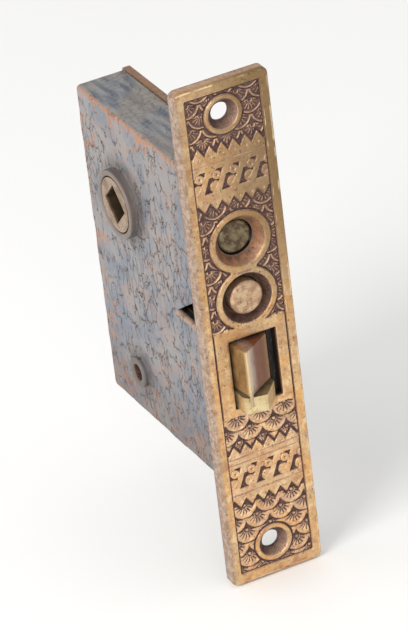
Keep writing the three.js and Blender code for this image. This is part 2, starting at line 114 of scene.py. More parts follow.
VIEW = {
    "azimuth": -23.859,
    "elevation": 28.911,
    "roll": -7.074,
    "distance": 1164.3,
    "aim": (-6.47, -9.01, 4.11),
    "lens": 264.8,
}


def make_camera():
    turn, tilt = math.radians(VIEW["azimuth"]), math.radians(VIEW["elevation"])
    level = math.cos(tilt)
    back = Vector((level * math.cos(turn), level * math.sin(turn), math.sin(tilt)))
    data = bpy.data.cameras.new("camera")
    data.lens = VIEW["lens"]
    data.sensor_fit = "VERTICAL"
    data.sensor_height = 36
    data.clip_end = 20
    camera = bpy.data.objects.new("camera", data)
    place = Matrix.Translation(MM * (Vector(VIEW["aim"]) + VIEW["distance"] * back))
    facing = back.to_track_quat("Z", "Y").to_matrix().to_4x4()
    camera.matrix_world = place @ facing @ Matrix.Rotation(math.radians(VIEW["roll"]), 4, "Z")
    SCENE.collection.objects.link(camera)
    SCENE.camera = camera


make_camera()

# ---- Shading ------------------------------------------------------------------------------


class Paint:
    """A Principled material whose inputs are built from small node helpers, in millimetres."""

    def __init__(self, name, metallic):
        self.material = bpy.data.materials.new(name)
        self.material.use_nodes = True
        self.tree = self.material.node_tree
        self.shader = self.tree.nodes["Principled BSDF"]
        self.shader.inputs["Metallic"].default_value = metallic
        place = self.tree.nodes.new("ShaderNodeTexCoord").outputs["Object"]
        self.place = self.vector("SCALE", place, scale=1 / MM)
        split = self.tree.nodes.new("ShaderNodeSeparateXYZ")
        self.link(self.place, split.inputs[0])
        self.x, self.y, self.z = split.outputs

    def link(self, source, socket):
        """Feeds a socket from another one, or sets it to a number or a tuple."""
        if isinstance(source, (int, float, tuple)):
            socket.default_value = source
        else:
            self.tree.links.new(source, socket)

    def vector(self, operation, first, second=(0.0, 0.0, 0.0), scale=1.0):
        node = self.tree.nodes.new("ShaderNodeVectorMath")
        node.operation = operation
        self.link(first, node.inputs[0])
        self.link(second, node.inputs[1])
        self.link(scale, node.inputs[3])
        return node.outputs["Vector"]

    def math(self, operation, first, second, third=0.0):
        node = self.tree.nodes.new("ShaderNodeMath")
        node.operation = operation
        for value, socket in zip((first, second, third), node.inputs):
            self.link(value, socket)
        return node.outputs[0]

    def times(self, result, *others):
        """The product of several values."""
        for other in others:
            result = self.math("MULTIPLY", result, other)
        return result

    def most(self, result, *others):
        """The largest of several values."""
        for other in others:
            result = self.math("MAXIMUM", result, other)
        return result

    def stretch(self, factors):
        return self.vector("MULTIPLY", self.place, factors)

    def noise(self, scale, detail, roughness=0.55, place=None, offset=0.0, warp=0.0):
        node = self.tree.nodes.new("ShaderNodeTexNoise")
        source = self.place if place is None else place
        if offset:
            source = self.vector("ADD", source, (offset, offset * 0.7, -offset))
        self.link(source, node.inputs["Vector"])
        node.inputs["Scale"].default_value = scale
        node.inputs["Detail"].default_value = detail
        node.inputs["Roughness"].default_value = roughness
        node.inputs["Distortion"].default_value = warp
        return node.outputs["Fac"]

    def bent_place(self, scale, reach):
        """The place, pushed about by a vector noise of the given scale."""
        node = self.tree.nodes.new("ShaderNodeTexNoise")
        self.link(self.place, node.inputs["Vector"])
        node.inputs["Scale"].default_value = scale
        node.inputs["Detail"].default_value = 3
        push = self.vector("SUBTRACT", node.outputs["Color"], (0.5, 0.5, 0.5))
        return self.vector("ADD", self.place, self.vector("SCALE", push, scale=reach))

    def cell_edges(self, scale, place):
        """The distance to the nearest edge between random cells."""
        node = self.tree.nodes.new("ShaderNodeTexVoronoi")
        node.feature = "DISTANCE_TO_EDGE"
        self.link(place, node.inputs["Vector"])
        node.inputs["Scale"].default_value = scale
        return node.outputs["Distance"]

    def attribute(self, name):
        node = self.tree.nodes.new("ShaderNodeAttribute")
        node.attribute_name = name
        return node.outputs["Fac"]

    def band(self, value, low, high, out_low, out_high, way="SMOOTHSTEP"):
        """value's way from low to high as out_low to out_high."""
        node = self.tree.nodes.new("ShaderNodeMapRange")
        node.interpolation_type = way
        sources = (value, low, high, out_low, out_high)
        for source, name in zip(sources, ("Value", "From Min", "From Max", "To Min", "To Max")):
            self.link(source, node.inputs[name])
        return node.outputs["Result"]

    def rise(self, value, low, high, top=1.0):
        """0 below low, top above high."""
        return self.band(value, low, high, 0.0, top)

    def fade(self, value, low, high, top=1.0):
        """top below low, 0 above high."""
        return self.band(value, low, high, top, 0.0)

    def near(self, centre, low, high):
        """1 closer than low to a point, 0 farther than high."""
        node = self.tree.nodes.new("ShaderNodeVectorMath")
        node.operation = "DISTANCE"
        self.link(self.place, node.inputs[0])
        self.link(centre, node.inputs[1])
        return self.fade(node.outputs["Value"], low, high)

    def mix(self, factor, first, second):
        node = self.tree.nodes.new("ShaderNodeMix")
        node.data_type = "RGBA"
        colours = [s for s in node.inputs if s.type == "RGBA"]
        self.link(factor, node.inputs["Factor"])
        self.link(colour(first), colours[0])
        self.link(colour(second), colours[1])
        return next(s for s in node.outputs if s.type == "RGBA")

    def shaded_and_greased(self, base, axis, darkest_at, clear_at):
        """base, darkened at darkest_at along an axis and less so up to clear_at: painted shade
        deeper inside the lock, with old grease.
        """
        depth = self.band((self.x, self.y, self.z)[axis], darkest_at, clear_at, 0.8, 0.0, "LINEAR")
        return self.mix(depth, base, (46, 34, 24))

    def finish(self, base, roughness, bump=None, height=0.0):
        """Joins the colour, the roughness and a bump of a height in millimetres."""
        self.link(base, self.shader.inputs["Base Color"])
        self.link(roughness, self.shader.inputs["Roughness"])
        if bump is not None:
            node = self.tree.nodes.new("ShaderNodeBump")
            node.inputs["Strength"].default_value = 1.0
            node.inputs["Distance"].default_value = height * MM
            self.link(bump, node.inputs["Height"])
            self.link(node.outputs["Normal"], self.shader.inputs["Normal"])
        return self.material


def colour(value):
    """An sRGB triple of 0-255 numbers as a linear colour; a socket passes through."""
    if not isinstance(value, tuple):
        return value
    channels = [c / 255 for c in value]
    linear = [c / 12.92 if c <= 0.04045 else ((c + 0.055) / 1.055) ** 2.4 for c in channels]
    return (*linear, 1.0)


def plate_gold(paint, mottle, grain):
    """The plate's high spots: worn gold-tan, with painted shade making them browner towards the
    top right.
    """
    cloud = paint.noise(0.11, 4)
    gold = paint.mix(paint.rise(cloud, 0.38, 0.62), (208, 176, 132), (218, 170, 110))
    gold = paint.mix(paint.rise(mottle, 0.4, 0.7, 0.75), gold, (186, 142, 112))
    gold = paint.mix(paint.rise(grain, 0.48, 0.72, 0.5), gold, (118, 88, 60))
    polished = paint.rise(paint.noise(0.35, 4, 0.6, offset=41.0), 0.52, 0.64, 0.6)
    gold = paint.mix(polished, gold, (236, 204, 158))
    stain = paint.rise(paint.noise(0.17, 5, 0.72, offset=63.0), 0.53, 0.66, 0.6)
    gold = paint.mix(stain, gold, (168, 108, 66))
    # painted shade: the high spots turn browner towards the top right
    high = paint.rise(paint.z, -20.0, 45.0, 0.88)
    right = paint.band(paint.y, -9.0, 9.0, 0.38, 1.0)
    return paint.mix(paint.times(high, right), gold, (116, 92, 58))


def plate_bronze():
    """Gold-tan high spots, purple-brown ground and a grey bloom on the plate's left edge."""
    paint = Paint("plate_bronze", metallic=0.6)
    mottle = paint.noise(0.8, 5, 0.65, offset=17.0)
    grain = paint.noise(4.0, 4, 0.7, place=paint.stretch((1.0, 1.0, 0.5)))
    relief = paint.attribute("relief")
    pinkish = paint.mix(paint.rise(mottle, 0.35, 0.65), (226, 190, 164), (200, 160, 132))
    ground = paint.mix(paint.rise(mottle, 0.3, 0.7), (70, 50, 48), (112, 86, 80))
    gold = plate_gold(paint, mottle, grain)
    gold = paint.mix(paint.fade(relief, 0.55, 0.85, 0.65), gold, pinkish)
    rubbed = paint.math("ADD", relief, paint.band(grain, 0.25, 0.75, -0.12, 0.12))
    base = paint.mix(paint.rise(rubbed, 0.1, 0.72), ground, gold)
    # painted highlight: where relief rises above 1, along edges that face the light, the colour
    # goes pale cream; it also stands for rubbing
    base = paint.mix(paint.rise(relief, 1.0, 1.15, 0.75), base, (244, 218, 180))
    streaks = paint.noise(0.55, 5, 0.7, offset=29.0)
    copper = paint.mix(paint.rise(streaks, 0.4, 0.6), (176, 116, 76), (104, 74, 54))
    shaded_umber = paint.mix(paint.rise(streaks, 0.42, 0.6), (112, 80, 58), (58, 42, 34))
    sunk = paint.fade(paint.x, -0.55, -0.25, 0.55)
    # the cups' bowls take copper and umber tarnish; the lower bowl's dark umber is also painted
    # shade
    for centre, tarnish in zip(CUPS, (copper, shaded_umber)):
        bowl = paint.near((CUP["middle_x"], *centre), CUP["rim"], CUP["rim"] + 0.5)
        base = paint.mix(paint.times(bowl, sunk), base, tarnish)
    bloom = paint.mix(paint.rise(mottle, 0.38, 0.6), (172, 156, 148), (134, 110, 96))
    left_edge = paint.fade(paint.y, PLATE_LOW[1] + 0.35, PLATE_LOW[1] + 1.6)
    base = paint.mix(paint.times(left_edge, 0.72), base, bloom)
    pits = paint.rise(paint.noise(1.3, 3, 0.6, offset=5.0), 0.62, 0.7)
    base = paint.mix(paint.times(pits, 0.65), base, (84, 60, 42))
    behind = paint.fade(paint.x, PLATE_BACK + 0.1, PLATE_BACK + 0.6, 0.55)
    base = paint.mix(behind, base, (120, 100, 84))
    # the window's walls through the plate go near black
    dark_window_walls = paint.times(
        paint.rise(paint.z, WINDOW["bottom"] - 0.6, WINDOW["bottom"] - 0.3),
        paint.fade(paint.z, WINDOW["top"] + 0.3, WINDOW["top"] + 0.6),
        paint.fade(paint.y, WINDOW["right"] + 1.0, WINDOW["right"] + 1.5),
        paint.rise(paint.y, FIELD["left"] + 0.65, FIELD["left"] + 1.15),
        paint.fade(paint.x, -1.7, -0.5, 0.9),
    )
    base = paint.mix(dark_window_walls, base, (44, 30, 20))
    rough = paint.band(rubbed, 0.2, 0.9, 0.68, 0.34)
    texture = paint.math("ADD", grain, paint.times(pits, -1.5))
    return paint.finish(base, rough, texture, 0.07)


def casting_wrinkles(paint):
    """Thin broken lines on the cast side, and the wider swelling round them."""
    drawn_out = paint.vector("MULTIPLY", paint.bent_place(0.42, 3.4), (1.5, 1.0, 0.6))
    edges = paint.cell_edges(0.29, drawn_out)
    crazed = paint.band(paint.noise(0.055, 2, offset=47.0), 0.36, 0.58, -0.06, 0.08)
    gaps = paint.math("ADD", paint.noise(0.3, 2, offset=31.0), crazed)
    not_bosses = paint.rise(paint.y, CASE_FACE - 0.9, CASE_FACE - 0.6)
    breaks = paint.times(paint.rise(gaps, 0.44, 0.54), not_bosses)
    thin = paint.times(paint.fade(edges, 0.01, 0.036), breaks)
    return thin, paint.times(paint.fade(edges, 0.03, 0.16), breaks)


def copper_wear(paint, base, mottle, fine):
    """Coppery rust spots, thickest near the case's worn top, back and bottom edges."""
    spots = paint.rise(paint.noise(0.26, 5, 0.72, offset=3.0), 0.5, 0.62)
    near_edge = paint.most(
        paint.rise(paint.z, CASE_HIGH[2] - 9.0, CASE_HIGH[2] - 0.4),
        paint.fade(paint.x, CASE_LOW[0] + 2.0, CASE_LOW[0] + 12.0, 0.8),
        paint.fade(paint.z, CASE_LOW[2] + 3.0, CASE_LOW[2] + 14.0, 0.8),
    )
    spots = paint.times(spots, paint.math("MULTIPLY_ADD", near_edge, 0.85, 0.24))
    lip = paint.times(
        paint.rise(paint.z, CASE_HIGH[2] - 1.9, CASE_HIGH[2] - 0.8),
        paint.band(mottle, 0.35, 0.6, 0.3, 0.75),
    )
    heel = paint.times(
        paint.fade(paint.x, CASE_LOW[0] + 0.7, CASE_LOW[0] + 1.3, 0.5),
        paint.rise(paint.x, CASE_LOW[0] + 0.05, CASE_LOW[0] + 0.3),
    )
    orange = paint.mix(paint.rise(fine, 0.4, 0.6), (188, 132, 94), (150, 110, 86))
    return paint.mix(paint.most(spots, lip, heel), base, orange)


def case_grime_and_light(paint, base):
    """Painted shadow and grime beside the case's bosses, brown bosses, and a painted highlight
    on the top edge of its pad.
    """
    # painted highlight on the pad's upward-facing top edge
    lit_pad_edge = paint.times(
        paint.rise(paint.z, PAD["top"] - 1.5, PAD["top"] - 0.2),
        paint.fade(paint.z, PAD["top"] + 0.3, PAD["top"] + 0.6),
        paint.rise(paint.x, PAD["back"], PAD["back"] + 2),
        paint.fade(paint.y, CASE_FACE + 0.6, CASE_FACE + 1.2),
    )
    base = paint.mix(paint.times(lit_pad_edge, 0.6), base, (186, 148, 118))
    # painted shadow, with grime, beside the bosses on their right and upper side
    hub_shadow_and_grime = paint.near((HUB["x"] + 1.5, CASE_FACE, HUB["z"] + 1), 9.0, 14.0)
    post_shadow_and_grime = paint.near((POST["x"] + 1.0, CASE_FACE, POST["z"] + 1), 4.0, 8.5)
    base = paint.mix(paint.times(paint.most(hub_shadow_and_grime, post_shadow_and_grime), 0.5), base, (74, 66, 60))
    boss = paint.fade(paint.y, CASE_FACE - 1.15, CASE_FACE - 0.95)
    base = paint.mix(paint.times(boss, 0.85), base, (106, 95, 88))
    hub_top = paint.fade(paint.y, CASE_FACE - 2.5, CASE_FACE - 2.3, 0.4)
    return paint.mix(hub_top, base, (142, 128, 118))


def inside_shade_and_grease(paint):
    """1 on the greasy walls inside the case and on the edges behind the face plate, where
    painted shade goes near black.
    """
    inside = paint.times(
        paint.rise(paint.x, CASE_LOW[0] + 0.6, CASE_LOW[0] + 1.2),
        paint.rise(paint.z, CASE_LOW[2] + 0.6, CASE_LOW[2] + 1.2),
        paint.fade(paint.z, CASE_HIGH[2] - 1.2, CASE_HIGH[2] - 0.6),
        paint.rise(paint.y, FLOOR_INSIDE - 1.4, FLOOR_INSIDE - 0.8),
        paint.fade(paint.y, COVER_INSIDE + 0.3, COVER_INSIDE + 0.8),
    )
    front_edge = paint.times(
        paint.rise(paint.x, CASE_HIGH[0] - 0.5, CASE_HIGH[0] - 0.3),
        paint.rise(paint.y, FLOOR_INSIDE, FLOOR_INSIDE + 1.0),
    )
    return paint.most(inside, front_edge)


def case_iron():
    """Blue-grey casting with broken brown wrinkles, pinkish patches and coppery worn edges."""
    paint = Paint("case_iron", metallic=0.35)
    cloud = paint.noise(0.07, 3)
    mottle = paint.noise(0.45, 4, 0.6, offset=9.0)
    fine = paint.noise(3.5, 4, 0.7)
    base = paint.mix(paint.rise(cloud, 0.4, 0.6), (116, 123, 134), (142, 139, 139))
    base = paint.mix(paint.rise(mottle, 0.5, 0.68, 0.5), base, (168, 148, 138))
    base = paint.mix(paint.rise(fine, 0.5, 0.75, 0.2), base, (96, 96, 100))
    wrinkles, swell = casting_wrinkles(paint)
    base = paint.mix(paint.times(swell, 0.28), base, (108, 92, 84))
    base = paint.mix(paint.times(wrinkles, 0.92), base, (60, 46, 40))
    base = copper_wear(paint, base, mottle, fine)
    low = paint.fade(paint.z, CASE_LOW[2], CASE_LOW[2] + 26, 0.45)
    base = paint.mix(low, base, (92, 78, 72))
    brushed = paint.noise(0.9, 4, 0.6, place=paint.stretch((0.12, 0.6, 1.0)))
    slate = paint.mix(paint.rise(brushed, 0.35, 0.65), (98, 104, 116), (148, 146, 146))
    slate = paint.mix(paint.rise(cloud, 0.42, 0.6, 0.5), slate, (150, 138, 124))
    top = paint.rise(paint.z, CASE_HIGH[2] - 0.25, CASE_HIGH[2] - 0.05)
    base = paint.mix(top, base, slate)
    cover_rim = paint.times(paint.rise(paint.y, CASE_HIGH[1], COVER_INSIDE), top)
    base = paint.mix(cover_rim, base, (146, 112, 86))
    base = case_grime_and_light(paint, base)
    # painted shade: the inside of the case and the edges behind the plate go near black
    base = paint.mix(paint.times(inside_shade_and_grease(paint), 0.94), base, (24, 18, 14))
    # painted shade in the post's hole
    bore = paint.near((POST["x"], CASE_FACE + 2.0, POST["z"]), 3.4, 3.9)
    base = paint.mix(paint.times(bore, 0.85), base, (84, 56, 42))
    texture = paint.math("MULTIPLY_ADD", swell, 0.9, paint.times(fine, 0.35))
    texture = paint.math("ADD", texture, paint.times(wrinkles, -1.6))
    return paint.finish(base, paint.band(mottle, 0.3, 0.7, 0.4, 0.6), texture, 0.16)


# Axis, and where along it the painted shade and grease inside the lock are thickest and end.
BEHIND_PLATE = (0, PLATE_BACK - 2.5, PLATE_BACK + 1.2)
BEHIND_COVER = (1, COVER_INSIDE - 2.0, COVER_INSIDE)


def worn_metal(name, bright, dull, dirt, grease=None):
    """A bare metal with cloudy tarnish, dirt in spots and fine handling marks; with grease
    given, painted shade and grease deeper inside the lock.
    """
    paint = Paint(name, metallic=0.8)
    marks = paint.noise(4.0, 4, 0.7)
    spots = paint.rise(paint.noise(1.5, 3, 0.6, offset=11.0), 0.58, 0.72)
    base = paint.mix(paint.rise(paint.noise(0.35, 4), 0.35, 0.65), bright, dull)
    base = paint.mix(paint.times(spots, 0.6), base, dirt)
    if grease:
        base = paint.shaded_and_greased(base, *grease)
    return paint.finish(base, paint.band(marks, 0.3, 0.7, 0.3, 0.53), marks, 0.03)


def tongue_brass():
    """Olive-tan flat, a ridge brightened by a painted highlight that also stands for rubbing,
    and a bevel with painted shade from pink-grey to red-brown.
    """
    paint = Paint("tongue_brass", metallic=0.7)
    marks = paint.noise(2.5, 4, 0.7, place=paint.stretch((1.0, 1.0, 0.25)))
    cloud = paint.noise(0.3, 4, offset=4.0)
    grime = paint.noise(0.9, 5, 0.7, place=paint.stretch((1.0, 1.0, 0.4)), offset=13.0)
    flat = paint.mix(paint.rise(cloud, 0.35, 0.65), (176, 148, 104), (146, 116, 76))
    flat = paint.mix(paint.rise(grime, 0.5, 0.66, 0.55), flat, (96, 66, 42))
    # painted shade across the curved bevel, pink-grey near the ridge to red-brown
    bevel = paint.mix(paint.rise(paint.y, -2.8, -0.6), (172, 152, 142), (122, 80, 60))
    bevel = paint.mix(paint.rise(grime, 0.48, 0.62, 0.5), bevel, (112, 72, 52))
    bevel = paint.mix(paint.rise(paint.y, 2.0, 4.2), bevel, (150, 118, 84))
    ridge_x, ridge_y, _ = TONGUE_RIDGE
    base = paint.mix(paint.rise(paint.y, ridge_y - 0.3, ridge_y + 0.1), flat, bevel)
    # painted highlight on the ridge and the nose, which also stands for rubbing
    nose = paint.times(paint.rise(paint.x, ridge_x - 0.8, ridge_x), 0.9)
    worn = paint.times(paint.most(paint.near(TONGUE_RIDGE, 0.4, 1.1), nose), 0.8)
    base = paint.mix(worn, base, (220, 198, 158))
    heel = paint.fade(paint.z, -14.5, -12.5, 0.35)
    base = paint.shaded_and_greased(paint.mix(heel, base, (104, 72, 52)), *BEHIND_PLATE)
    return paint.finish(base, paint.band(marks, 0.3, 0.7, 0.28, 0.45), marks, 0.03)


def button_face(name, bright, dull, dirt):
    """A rubbed button end with cloudy tarnish and crossing scratches."""
    paint = Paint(name, metallic=0.6)
    cloud = paint.noise(0.45, 5, 0.65, offset=23.0)
    scratch = paint.noise(1.2, 3, 0.7, place=paint.stretch((1.0, 0.35, 5.0)), warp=0.6)
    crossing = paint.noise(1.0, 4, 0.75, place=paint.stretch((1.0, 3.2, 0.5)), offset=7.0)
    lines = paint.most(paint.rise(scratch, 0.6, 0.66), paint.rise(crossing, 0.6, 0.66))
    base = paint.mix(paint.rise(cloud, 0.4, 0.6), bright, dull)
    base = paint.shaded_and_greased(paint.mix(paint.times(lines, 0.8), base, dirt), *BEHIND_PLATE)
    texture = paint.math("SUBTRACT", cloud, paint.times(lines, 0.4))
    return paint.finish(base, paint.band(cloud, 0.3, 0.7, 0.36, 0.55), texture, 0.06)


def hub_brass():
    """A worn hub end: pinkish brass outside, brown grease and painted shade in the square hole.
    """
    paint = Paint("hub_brass", metallic=0.6)
    marks = paint.noise(3.0, 4, 0.7)
    cloud = paint.rise(paint.noise(0.35, 4), 0.38, 0.62)
    base = paint.mix(cloud, (164, 142, 122), (132, 106, 82))
    base = paint.mix(paint.rise(marks, 0.48, 0.7, 0.6), base, (84, 64, 48))
    # painted shade with grease, darkening the hub away from its two ends
    shaded_depth = paint.times(
        paint.rise(paint.y, HUB_END + 0.15, HUB_END + 0.9),
        paint.fade(paint.y, -HUB_END - 0.9, -HUB_END - 0.15),
        0.85,
    )
    base = paint.mix(shaded_depth, base, (62, 46, 28))
    return paint.finish(base, paint.band(marks, 0.3, 0.7, 0.34, 0.55), marks, 0.05)


MATERIALS = {
    "plate_bronze": plate_bronze(),
    "case_iron": case_iron(),
    "hub_brass": hub_brass(),
    "tongue": tongue_brass(),
    "button_upper": button_face("button_upper", (142, 128, 98), (90, 72, 52), (62, 50, 40)),
    "button_lower": button_face("button_lower", (198, 170, 136), (164, 128, 102), (84, 60, 46)),
}
for name, *tones in (
    ("latch_brass", (214, 196, 154), (192, 166, 120), (128, 92, 54), BEHIND_PLATE),
    ("works_brass", (120, 100, 66), (92, 74, 48), (60, 46, 32)),
    ("works_steel", (96, 90, 84), (72, 62, 54), (56, 42, 32)),
    ("screw_steel", (108, 98, 88), (82, 68, 58), (58, 42, 32), BEHIND_COVER),
    ("spring_steel", (84, 86, 92), (62, 62, 66), (52, 44, 38)),
):
    MATERIALS[name] = worn_metal(name, *tones)

# ---- Meshes -------------------------------------------------------------------------------

EDGE_STEPS = (0, 0.07, 0.16, 0.3, 0.48)
RIM_DEPTHS = (0.35, 0.97, 1.0)


def new_object(name, mesh, body, material, node):
    """Links a mesh given in metres, ties it to its body and hides its CAD node."""
    piece = bpy.data.objects.new(name, mesh)
    SCENE.collection.objects.link(piece)
    mesh.materials.clear()
    mesh.materials.append(material)
    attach(piece, body)
    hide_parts(node)
    return piece


def smooth(mesh, angle=35):
    mesh.shade_smooth()
    mesh.set_sharp_from_angle(angle=math.radians(angle))


def weigh_normals(piece):
    """Keeps big flat faces flat where small rounded ones meet them."""
    modifier = piece.modifiers.new("flat faces", "WEIGHTED_NORMAL")
    modifier.keep_sharp = True
    modifier.weight = 100


def ease(value, low, high):
    """0 below low, 1 above high, eased between."""
    t = np.clip((value - low) / (high - low), 0, 1)
    return t * t * (3 - 2 * t)


def value_noise(u, v, cell, seed):
    """Smooth random values from -1 to 1 on a lattice of the given cell size."""
    size = 256
    generator = np.random.default_rng(seed)
    lattice = generator.uniform(-1, 1, (size + 1, size + 1))
    gu, gv = u / cell + 100.37, v / cell + 100.71
    iu, iv = np.floor(gu).astype(int), np.floor(gv).astype(int)
    fu, fv = ease(gu - iu, 0, 1), ease(gv - iv, 0, 1)
    iu, iv = iu % size, iv % size
    low = lattice[iu, iv] * (1 - fu) + lattice[iu + 1, iv] * fu
    high = lattice[iu, iv + 1] * (1 - fu) + lattice[iu + 1, iv + 1] * fu
    return low * (1 - fv) + high * fv


def box_distance(u, v, low_u, low_v, high_u, high_v, radius):
    """Signed distance to a rounded rectangle, negative inside."""
    du = np.abs(u - (low_u + high_u) / 2) - (high_u - low_u) / 2 + radius
    dv = np.abs(v - (low_v + high_v) / 2) - (high_v - low_v) / 2 + radius
    outside = np.hypot(np.maximum(du, 0), np.maximum(dv, 0))
    return outside + np.minimum(np.maximum(du, dv), 0) - radius


def rolled(edge, roll):
    """How far a rounded edge of radius roll lies below the face, at a distance inwards."""
    return roll - np.sqrt(np.maximum(roll**2 - np.maximum(roll - edge, 0) ** 2, 0))


def grid_lines(low, high, step):
    """Coordinates from low to high, closer together at both ends."""
    near = np.array(EDGE_STEPS)
    inner = np.arange(near[-1] + step, high - low - near[-1], step)
    return low + np.concatenate([near, inner, high - low - near[::-1]])


def snap_lines(lines, *values):
    """Moves the nearest line onto each value, so that straight edges stay straight."""
    for value in values:
        lines[np.argmin(np.abs(lines - value))] = value
    return lines


def trimmed_grid(u_lines, v_lines, distance):
    """The grid's quads inside an outline, with the points along it moved onto it."""
    u, v = np.meshgrid(u_lines, v_lines, indexing="ij")
    number = np.arange(u.size).reshape(u.shape)
    u, v = u.ravel(), v.ravel()
    quads = np.stack(
        [number[:-1, :-1], number[1:, :-1], number[1:, 1:], number[:-1, 1:]], -1
    ).reshape(-1, 4)
    inside = distance(u[quads].mean(1), v[quads].mean(1)) < 0
    used, dropped = np.zeros(u.size, bool), np.zeros(u.size, bool)
    used[quads[inside].ravel()] = True
    dropped[quads[~inside].ravel()] = True
    rim = dropped & used
    step = 0.01
    for _ in range(2):
        value = distance(u[rim], v[rim])
        slope_u = distance(u[rim] + step, v[rim]) - distance(u[rim] - step, v[rim])
        slope_v = distance(u[rim], v[rim] + step) - distance(u[rim], v[rim] - step)
        slope_u, slope_v = slope_u / (2 * step), slope_v / (2 * step)
        length = np.maximum(slope_u**2 + slope_v**2, 0.25)
        u[rim] -= value * slope_u / length
        v[rim] -= value * slope_v / length
    renumber = np.cumsum(used) - 1
    return u[used], v[used], renumber[quads[inside]]


def boundary_loops(faces, count):
    """The closed outlines of a patch of quads, as lists of vertex numbers."""
    starts = faces.ravel()
    ends = np.roll(faces, -1, axis=1).ravel()
    keys = starts.astype(np.int64) * count + ends
    back = ends.astype(np.int64) * count + starts
    alone = ~np.isin(keys, back)
    following = dict(zip(starts[alone].tolist(), ends[alone].tolist()))
    loops = []
    while following:
        first, vertex = following.popitem()
        loop = [first]
        while vertex != first:
            loop.append(vertex)
            vertex = following.pop(vertex)
        loops.append(loop)
    return loops


def wall_faces(loops, first):
    """Quads from the front's outlines through each ring of points behind them."""
    total = sum(len(loop) for loop in loops)
    faces = []
    for loop in loops:
        size = len(loop)
        layers = [loop]
        for k in range(len(RIM_DEPTHS)):
            layers.append(range(first + k * total, first + k * total + size))
        for outer, inner in zip(layers, layers[1:]):
            for i in range(size):
                j = (i + 1) % size
                faces.append([outer[j], outer[i], inner[i], inner[j]])
        first += size
    return faces


def back_faces(loops, first, corners):
    """Triangles that close the flat back between the outlines."""
    flat_loops, start = [], 0
    for loop in loops:
        flat_loops.append([Vector((*corners[start + i][:2], 0)) for i in range(len(loop))])
        start += len(loop)
    faces = []
    for triangle in tessellate_polygon(flat_loops):
        a, b, c = (corners[i][:2] for i in triangle)
        turn = (b[0] - a[0]) * (c[1] - a[1]) - (b[1] - a[1]) * (c[0] - a[0])
        corner = [first + i for i in triangle]
        faces.append(corner[::-1] if turn > 0 else corner)
    return faces


def relief_slab(name, u_lines, v_lines, distance, height, back, basis):
    """A closed slab: a height field in front, walls round its outlines and a flat back.

    distance(u, v) is negative inside the outline and away from holes. height(u, v) gives the
    front's level and a 0-1 relief value. basis is the frame's U, V and outward directions.
    """
    u, v, quads = trimmed_grid(u_lines, v_lines, distance)
    level, relief = height(u, v)
    front = np.stack([u, v, level], 1)
    loops = boundary_loops(quads, len(front))
    rim_order = [vertex for loop in loops for vertex in loop]
    rims = [front[rim_order].copy() for _ in RIM_DEPTHS]
    for depth, ring in zip(RIM_DEPTHS, rims):
        ring[:, 2] += (back - ring[:, 2]) * depth
    last = len(front) + (len(rims) - 1) * len(rim_order)
    faces = quads.tolist() + wall_faces(loops, len(front))
    faces += back_faces(loops, last, rims[-1])
    points = np.concatenate([front, *rims]) @ np.array(basis, float) * MM
    mesh = bpy.data.meshes.new(name)
    mesh.from_pydata(points.tolist(), [], faces)
    values = np.concatenate([relief, *[relief[rim_order] * 0.6] * len(rims)])
    attribute = mesh.attributes.new("relief", "FLOAT", "POINT")
    attribute.data.foreach_set("value", values.astype(np.float32))
    mesh.validate()
    smooth(mesh)
    return mesh


def lathe(bm, profile, centre, outward, steps):
    """Adds a turned ring about an axis along Y. profile is a closed [radius, height] loop."""
    rings = []
    for i in range(steps):
        angle = 2 * math.pi * i / steps
        ring = []
        for r, h in profile:
            offset = (r * math.cos(angle), outward * h, r * math.sin(angle))
            ring.append(bm.verts.new(MM * (Vector(centre) + Vector(offset))))
        rings.append(ring)
    count = len(profile)
    for i in range(steps):
        near, far = rings[i], rings[(i + 1) % steps]
        for k in range(count):
            m = (k + 1) % count
            face = [near[k], far[k], far[m], near[m]]
            bm.faces.new(face if outward < 0 else face[::-1])


def ring_profile(inner, outer, top, bottom, edge):
    """A flat-topped ring with eased corners, counter-clockwise from its inner foot."""
    corner = [math.radians(angle) for angle in (0, 22, 45, 68, 90)]
    points = [(inner, bottom), (outer, bottom)]
    for a in corner:
        points.append((outer - edge + edge * math.cos(a), top - edge + edge * math.sin(a)))
    for a in reversed(corner):
        points.append((inner + edge - edge * math.cos(a), top - edge + edge * math.sin(a)))
    return points


def merged_copy(node, angle):
    """A copy of a CAD node's mesh, and a bmesh of it with its flat facets merged."""
    mesh = frame["nodes"][node].data.copy()
    bm = bmesh.new()
    bm.from_mesh(mesh)
    bmesh.ops.remove_doubles(bm, verts=bm.verts, dist=1e-6)
    bmesh.ops.dissolve_limit(bm, angle_limit=angle, verts=bm.verts, edges=bm.edges)
    return mesh, bm


def eased_copy(node, name, width):
    """A CAD node's mesh with its facets merged and its edges rounded."""
    mesh, bm = merged_copy(node, math.radians(1))
    mesh.name = name
    sharp = [e for e in bm.edges if len(e.link_faces) == 2 and e.calc_face_angle(0) > 0.6]
    bmesh.ops.bevel(
        bm,
        geom=sharp,
        offset=width * MM,
        segments=2,
        profile=0.6,
        affect="EDGES",
        clamp_overlap=True,
    )
    bmesh.ops.triangulate(bm, faces=[f for f in bm.faces if len(f.verts) > 4])
    bm.to_mesh(mesh)
    bm.free()
    smooth(mesh, 30)
    return mesh


# ---- Face plate ---------------------------------------------------------------------------

GROUND, WORN, DARK_WORN, BAND = -0.62, -0.26, -0.5, -0.1
FAN_PITCH, FAN_RADIUS, RIB_TURN = 6.75, 3.75, math.radians(24)
